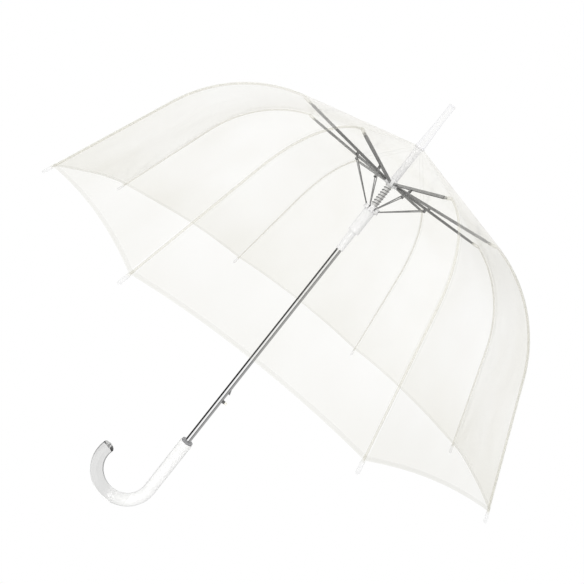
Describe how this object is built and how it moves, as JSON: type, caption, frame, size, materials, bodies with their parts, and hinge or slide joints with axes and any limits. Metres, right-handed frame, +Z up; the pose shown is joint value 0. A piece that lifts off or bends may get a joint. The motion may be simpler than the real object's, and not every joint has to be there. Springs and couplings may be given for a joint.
{
  "type": "stick umbrella",
  "caption": "Clear dome stick umbrella with a crook handle: film canopy on folding ribs, sliding runner, spring catch and clear ferrule.",
  "frame": {"origin": "on the shaft's axis at the middle of the straight grip", "axes": "+Z up the shaft towards the ferrule, -X the way the hook bends, +X the side of the catch and button"},
  "size_m": [0.7872, 0.7872, 0.8519],
  "materials": {
    "shaft_steel": "polished steel",
    "clear_acrylic": "clear, polished",
    "grey_plastic": "satin",
    "clear_moulding": "clear moulded plastic",
    "white_moulding": "translucent white moulding",
    "spring_steel": "bright wire",
    "rib_steel": "satin plated steel",
    "clear_rod": "clear flexible plastic",
    "clear_film": "clear soft film, glossy"
  },
  "bodies": {
    "shaft_group": {"shaft": "shaft_steel", "handle": "clear_acrylic", "handle_collar": "grey_plastic", "ferrule": "clear_moulding", "canopy_cap": "white_moulding", "notch": "white_moulding", "notch_wire": "spring_steel", "cushion_spring": "spring_steel"},
    "runner_group": {"runner": "white_moulding", "runner_wire": "spring_steel"},
    "catch": {"spring_catch": "spring_steel"},
    "button": {"trigger_button": "spring_steel"},
    "rib_1": {"rib_1": "rib_steel"},
    "stretcher_1": {"stretcher_1": "rib_steel"},
    "upper_1": {"rod_upper_1": "clear_rod"},
    "crown_1": {"crown_panel_1": "clear_film"},
    "lower_1": {"rod_lower_1": "clear_rod", "skirt_panel_1": "clear_film"},
    "rib_2": {"rib_2": "rib_steel"},
    "stretcher_2": {"stretcher_2": "rib_steel"},
    "upper_2": {"rod_upper_2": "clear_rod"},
    "crown_2": {"crown_panel_2": "clear_film"},
    "lower_2": {"rod_lower_2": "clear_rod", "skirt_panel_2": "clear_film"},
    "rib_3": {"rib_3": "rib_steel"},
    "stretcher_3": {"stretcher_3": "rib_steel"},
    "upper_3": {"rod_upper_3": "clear_rod"},
    "crown_3": {"crown_panel_3": "clear_film"},
    "lower_3": {"rod_lower_3": "clear_rod", "skirt_panel_3": "clear_film"},
    "rib_4": {"rib_4": "rib_steel"},
    "stretcher_4": {"stretcher_4": "rib_steel"},
    "upper_4": {"rod_upper_4": "clear_rod"},
    "crown_4": {"crown_panel_4": "clear_film"},
    "lower_4": {"rod_lower_4": "clear_rod", "skirt_panel_4": "clear_film"},
    "rib_5": {"rib_5": "rib_steel"},
    "stretcher_5": {"stretcher_5": "rib_steel"},
    "upper_5": {"rod_upper_5": "clear_rod"},
    "crown_5": {"crown_panel_5": "clear_film"},
    "lower_5": {"rod_lower_5": "clear_rod", "skirt_panel_5": "clear_film"},
    "rib_6": {"rib_6": "rib_steel"},
    "stretcher_6": {"stretcher_6": "rib_steel"},
    "upper_6": {"rod_upper_6": "clear_rod"},
    "crown_6": {"crown_panel_6": "clear_film"},
    "lower_6": {"rod_lower_6": "clear_rod", "skirt_panel_6": "clear_film"},
    "rib_7": {"rib_7": "rib_steel"},
    "stretcher_7": {"stretcher_7": "rib_steel"},
    "upper_7": {"rod_upper_7": "clear_rod"},
    "crown_7": {"crown_panel_7": "clear_film"},
    "lower_7": {"rod_lower_7": "clear_rod", "skirt_panel_7": "clear_film"},
    "rib_8": {"rib_8": "rib_steel"},
    "stretcher_8": {"stretcher_8": "rib_steel"},
    "upper_8": {"rod_upper_8": "clear_rod"},
    "crown_8": {"crown_panel_8": "clear_film"},
    "lower_8": {"rod_lower_8": "clear_rod", "skirt_panel_8": "clear_film"}
  },
  "joints": [
    {"name": "runner_slide", "type": "slide", "parent": "shaft_group", "child": "runner_group", "axis": [0, 0, -1], "range_m": [0, 0.09584], "deforming": ["crown_panel_1", "crown_panel_2", "crown_panel_3", "crown_panel_4", "crown_panel_5", "crown_panel_6", "crown_panel_7", "crown_panel_8", "skirt_panel_1", "skirt_panel_2", "skirt_panel_3", "skirt_panel_4", "skirt_panel_5", "skirt_panel_6", "skirt_panel_7", "skirt_panel_8"]},
    {"name": "catch_press", "type": "slide", "parent": "shaft_group", "child": "catch", "axis": [-1, 0, 0], "range_m": [0, 0.004], "stiffness_N_per_m": 400},
    {"name": "button_press", "type": "slide", "parent": "shaft_group", "child": "button", "axis": [-1, 0, 0], "range_m": [0, 0.0025], "stiffness_N_per_m": 400},
    {"name": "rib_1_fold", "type": "hinge", "parent": "shaft_group", "child": "rib_1", "pos_m": [0.00924, 0.00383, 0.587], "axis": [-0.3827, 0.9239, 0], "range_deg": [0, 90.01]},
    {"name": "stretcher_1_pivot", "type": "hinge", "parent": "rib_1", "child": "stretcher_1", "pos_m": [0.06947, 0.02877, 0.58655], "axis": [-0.3827, 0.9239, 0], "range_deg": [-144.24, 0]},
    {"name": "rod_1_pivot", "type": "hinge", "parent": "rib_1", "child": "upper_1", "pos_m": [0.16776, 0.06949, 0.599], "axis": [-0.3827, 0.9239, 0], "range_deg": [-41.01, 0]},
    {"name": "rod_1_flex", "type": "hinge", "parent": "upper_1", "child": "lower_1", "pos_m": [0.3144, 0.13023, 0.47425], "axis": [-0.3827, 0.9239, 0], "range_deg": [-27.01, 0]},
    {"name": "crown_1_fold", "type": "hinge", "parent": "shaft_group", "child": "crown_1", "pos_m": [0.00876, 0.00363, 0.65685], "axis": [-0.3827, 0.9239, 0], "range_deg": [0, 68.01]},
    {"name": "rib_2_fold", "type": "hinge", "parent": "shaft_group", "child": "rib_2", "pos_m": [0.00383, 0.00924, 0.587], "axis": [-0.9239, 0.3827, 0], "range_deg": [0, 90.01]},
    {"name": "stretcher_2_pivot", "type": "hinge", "parent": "rib_2", "child": "stretcher_2", "pos_m": [0.02877, 0.06947, 0.58655], "axis": [-0.9239, 0.3827, 0], "range_deg": [-144.24, 0]},
    {"name": "rod_2_pivot", "type": "hinge", "parent": "rib_2", "child": "upper_2", "pos_m": [0.06949, 0.16776, 0.599], "axis": [-0.9239, 0.3827, 0], "range_deg": [-41.01, 0]},
    {"name": "rod_2_flex", "type": "hinge", "parent": "upper_2", "child": "lower_2", "pos_m": [0.13023, 0.3144, 0.47425], "axis": [-0.9239, 0.3827, 0], "range_deg": [-27.01, 0]},
    {"name": "crown_2_fold", "type": "hinge", "parent": "shaft_group", "child": "crown_2", "pos_m": [0.00363, 0.00876, 0.65685], "axis": [-0.9239, 0.3827, 0], "range_deg": [0, 68.01]},
    {"name": "rib_3_fold", "type": "hinge", "parent": "shaft_group", "child": "rib_3", "pos_m": [-0.00383, 0.00924, 0.587], "axis": [-0.9239, -0.3827, 0], "range_deg": [0, 90.01]},
    {"name": "stretcher_3_pivot", "type": "hinge", "parent": "rib_3", "child": "stretcher_3", "pos_m": [-0.02877, 0.06947, 0.58655], "axis": [-0.9239, -0.3827, 0], "range_deg": [-144.24, 0]},
    {"name": "rod_3_pivot", "type": "hinge", "parent": "rib_3", "child": "upper_3", "pos_m": [-0.06949, 0.16776, 0.599], "axis": [-0.9239, -0.3827, 0], "range_deg": [-41.01, 0]},
    {"name": "rod_3_flex", "type": "hinge", "parent": "upper_3", "child": "lower_3", "pos_m": [-0.13023, 0.3144, 0.47425], "axis": [-0.9239, -0.3827, 0], "range_deg": [-27.01, 0]},
    {"name": "crown_3_fold", "type": "hinge", "parent": "shaft_group", "child": "crown_3", "pos_m": [-0.00363, 0.00876, 0.65685], "axis": [-0.9239, -0.3827, 0], "range_deg": [0, 68.01]},
    {"name": "rib_4_fold", "type": "hinge", "parent": "shaft_group", "child": "rib_4", "pos_m": [-0.00924, 0.00383, 0.587], "axis": [-0.3827, -0.9239, 0], "range_deg": [0, 90.01]},
    {"name": "stretcher_4_pivot", "type": "hinge", "parent": "rib_4", "child": "stretcher_4", "pos_m": [-0.06947, 0.02877, 0.58655], "axis": [-0.3827, -0.9239, 0], "range_deg": [-144.24, 0]},
    {"name": "rod_4_pivot", "type": "hinge", "parent": "rib_4", "child": "upper_4", "pos_m": [-0.16776, 0.06949, 0.599], "axis": [-0.3827, -0.9239, 0], "range_deg": [-41.01, 0]},
    {"name": "rod_4_flex", "type": "hinge", "parent": "upper_4", "child": "lower_4", "pos_m": [-0.3144, 0.13023, 0.47425], "axis": [-0.3827, -0.9239, 0], "range_deg": [-27.01, 0]},
    {"name": "crown_4_fold", "type": "hinge", "parent": "shaft_group", "child": "crown_4", "pos_m": [-0.00876, 0.00363, 0.65685], "axis": [-0.3827, -0.9239, 0], "range_deg": [0, 68.01]},
    {"name": "rib_5_fold", "type": "hinge", "parent": "shaft_group", "child": "rib_5", "pos_m": [-0.00924, -0.00383, 0.587], "axis": [0.3827, -0.9239, 0], "range_deg": [0, 90.01]},
    {"name": "stretcher_5_pivot", "type": "hinge", "parent": "rib_5", "child": "stretcher_5", "pos_m": [-0.06947, -0.02877, 0.58655], "axis": [0.3827, -0.9239, 0], "range_deg": [-144.24, 0]},
    {"name": "rod_5_pivot", "type": "hinge", "parent": "rib_5", "child": "upper_5", "pos_m": [-0.16776, -0.06949, 0.599], "axis": [0.3827, -0.9239, 0], "range_deg": [-41.01, 0]},
    {"name": "rod_5_flex", "type": "hinge", "parent": "upper_5", "child": "lower_5", "pos_m": [-0.3144, -0.13023, 0.47425], "axis": [0.3827, -0.9239, 0], "range_deg": [-27.01, 0]},
    {"name": "crown_5_fold", "type": "hinge", "parent": "shaft_group", "child": "crown_5", "pos_m": [-0.00876, -0.00363, 0.65685], "axis": [0.3827, -0.9239, 0], "range_deg": [0, 68.01]},
    {"name": "rib_6_fold", "type": "hinge", "parent": "shaft_group", "child": "rib_6", "pos_m": [-0.00383, -0.00924, 0.587], "axis": [0.9239, -0.3827, 0], "range_deg": [0, 90.01]},
    {"name": "stretcher_6_pivot", "type": "hinge", "parent": "rib_6", "child": "stretcher_6", "pos_m": [-0.02877, -0.06947, 0.58655], "axis": [0.9239, -0.3827, 0], "range_deg": [-144.24, 0]},
    {"name": "rod_6_pivot", "type": "hinge", "parent": "rib_6", "child": "upper_6", "pos_m": [-0.06949, -0.16776, 0.599], "axis": [0.9239, -0.3827, 0], "range_deg": [-41.01, 0]},
    {"name": "rod_6_flex", "type": "hinge", "parent": "upper_6", "child": "lower_6", "pos_m": [-0.13023, -0.3144, 0.47425], "axis": [0.9239, -0.3827, 0], "range_deg": [-27.01, 0]},
    {"name": "crown_6_fold", "type": "hinge", "parent": "shaft_group", "child": "crown_6", "pos_m": [-0.00363, -0.00876, 0.65685], "axis": [0.9239, -0.3827, 0], "range_deg": [0, 68.01]},
    {"name": "rib_7_fold", "type": "hinge", "parent": "shaft_group", "child": "rib_7", "pos_m": [0.00383, -0.00924, 0.587], "axis": [0.9239, 0.3827, 0], "range_deg": [0, 90.01]},
    {"name": "stretcher_7_pivot", "type": "hinge", "parent": "rib_7", "child": "stretcher_7", "pos_m": [0.02877, -0.06947, 0.58655], "axis": [0.9239, 0.3827, 0], "range_deg": [-144.24, 0]},
    {"name": "rod_7_pivot", "type": "hinge", "parent": "rib_7", "child": "upper_7", "pos_m": [0.06949, -0.16776, 0.599], "axis": [0.9239, 0.3827, 0], "range_deg": [-41.01, 0]},
    {"name": "rod_7_flex", "type": "hinge", "parent": "upper_7", "child": "lower_7", "pos_m": [0.13023, -0.3144, 0.47425], "axis": [0.9239, 0.3827, 0], "range_deg": [-27.01, 0]},
    {"name": "crown_7_fold", "type": "hinge", "parent": "shaft_group", "child": "crown_7", "pos_m": [0.00363, -0.00876, 0.65685], "axis": [0.9239, 0.3827, 0], "range_deg": [0, 68.01]},
    {"name": "rib_8_fold", "type": "hinge", "parent": "shaft_group", "child": "rib_8", "pos_m": [0.00924, -0.00383, 0.587], "axis": [0.3827, 0.9239, 0], "range_deg": [0, 90.01]},
    {"name": "stretcher_8_pivot", "type": "hinge", "parent": "rib_8", "child": "stretcher_8", "pos_m": [0.06947, -0.02877, 0.58655], "axis": [0.3827, 0.9239, 0], "range_deg": [-144.24, 0]},
    {"name": "rod_8_pivot", "type": "hinge", "parent": "rib_8", "child": "upper_8", "pos_m": [0.16776, -0.06949, 0.599], "axis": [0.3827, 0.9239, 0], "range_deg": [-41.01, 0]},
    {"name": "rod_8_flex", "type": "hinge", "parent": "upper_8", "child": "lower_8", "pos_m": [0.3144, -0.13023, 0.47425], "axis": [0.3827, 0.9239, 0], "range_deg": [-27.01, 0]},
    {"name": "crown_8_fold", "type": "hinge", "parent": "shaft_group", "child": "crown_8", "pos_m": [0.00876, -0.00363, 0.65685], "axis": [0.3827, 0.9239, 0], "range_deg": [0, 68.01]}
  ],
  "couplings": [
    {"joint": "rib_1_fold", "follows": "runner_slide", "rad_per_m": 16.39},
    {"joint": "stretcher_1_pivot", "follows": "runner_slide", "rad_per_m": -26.266},
    {"joint": "rod_1_pivot", "follows": "runner_slide", "rad_per_m": -7.4665},
    {"joint": "rod_1_flex", "follows": "runner_slide", "rad_per_m": -4.9169},
    {"joint": "crown_1_fold", "follows": "runner_slide", "rad_per_m": 12.383},
    {"joint": "rib_2_fold", "follows": "runner_slide", "rad_per_m": 16.39},
    {"joint": "stretcher_2_pivot", "follows": "runner_slide", "rad_per_m": -26.266},
    {"joint": "rod_2_pivot", "follows": "runner_slide", "rad_per_m": -7.4665},
    {"joint": "rod_2_flex", "follows": "runner_slide", "rad_per_m": -4.9169},
    {"joint": "crown_2_fold", "follows": "runner_slide", "rad_per_m": 12.383},
    {"joint": "rib_3_fold", "follows": "runner_slide", "rad_per_m": 16.39},
    {"joint": "stretcher_3_pivot", "follows": "runner_slide", "rad_per_m": -26.266},
    {"joint": "rod_3_pivot", "follows": "runner_slide", "rad_per_m": -7.4665},
    {"joint": "rod_3_flex", "follows": "runner_slide", "rad_per_m": -4.9169},
    {"joint": "crown_3_fold", "follows": "runner_slide", "rad_per_m": 12.383},
    {"joint": "rib_4_fold", "follows": "runner_slide", "rad_per_m": 16.39},
    {"joint": "stretcher_4_pivot", "follows": "runner_slide", "rad_per_m": -26.266},
    {"joint": "rod_4_pivot", "follows": "runner_slide", "rad_per_m": -7.4665},
    {"joint": "rod_4_flex", "follows": "runner_slide", "rad_per_m": -4.9169},
    {"joint": "crown_4_fold", "follows": "runner_slide", "rad_per_m": 12.383},
    {"joint": "rib_5_fold", "follows": "runner_slide", "rad_per_m": 16.39},
    {"joint": "stretcher_5_pivot", "follows": "runner_slide", "rad_per_m": -26.266},
    {"joint": "rod_5_pivot", "follows": "runner_slide", "rad_per_m": -7.4665},
    {"joint": "rod_5_flex", "follows": "runner_slide", "rad_per_m": -4.9169},
    {"joint": "crown_5_fold", "follows": "runner_slide", "rad_per_m": 12.383},
    {"joint": "rib_6_fold", "follows": "runner_slide", "rad_per_m": 16.39},
    {"joint": "stretcher_6_pivot", "follows": "runner_slide", "rad_per_m": -26.266},
    {"joint": "rod_6_pivot", "follows": "runner_slide", "rad_per_m": -7.4665},
    {"joint": "rod_6_flex", "follows": "runner_slide", "rad_per_m": -4.9169},
    {"joint": "crown_6_fold", "follows": "runner_slide", "rad_per_m": 12.383},
    {"joint": "rib_7_fold", "follows": "runner_slide", "rad_per_m": 16.39},
    {"joint": "stretcher_7_pivot", "follows": "runner_slide", "rad_per_m": -26.266},
    {"joint": "rod_7_pivot", "follows": "runner_slide", "rad_per_m": -7.4665},
    {"joint": "rod_7_flex", "follows": "runner_slide", "rad_per_m": -4.9169},
    {"joint": "crown_7_fold", "follows": "runner_slide", "rad_per_m": 12.383},
    {"joint": "rib_8_fold", "follows": "runner_slide", "rad_per_m": 16.39},
    {"joint": "stretcher_8_pivot", "follows": "runner_slide", "rad_per_m": -26.266},
    {"joint": "rod_8_pivot", "follows": "runner_slide", "rad_per_m": -7.4665},
    {"joint": "rod_8_flex", "follows": "runner_slide", "rad_per_m": -4.9169},
    {"joint": "crown_8_fold", "follows": "runner_slide", "rad_per_m": 12.383}
  ]
}
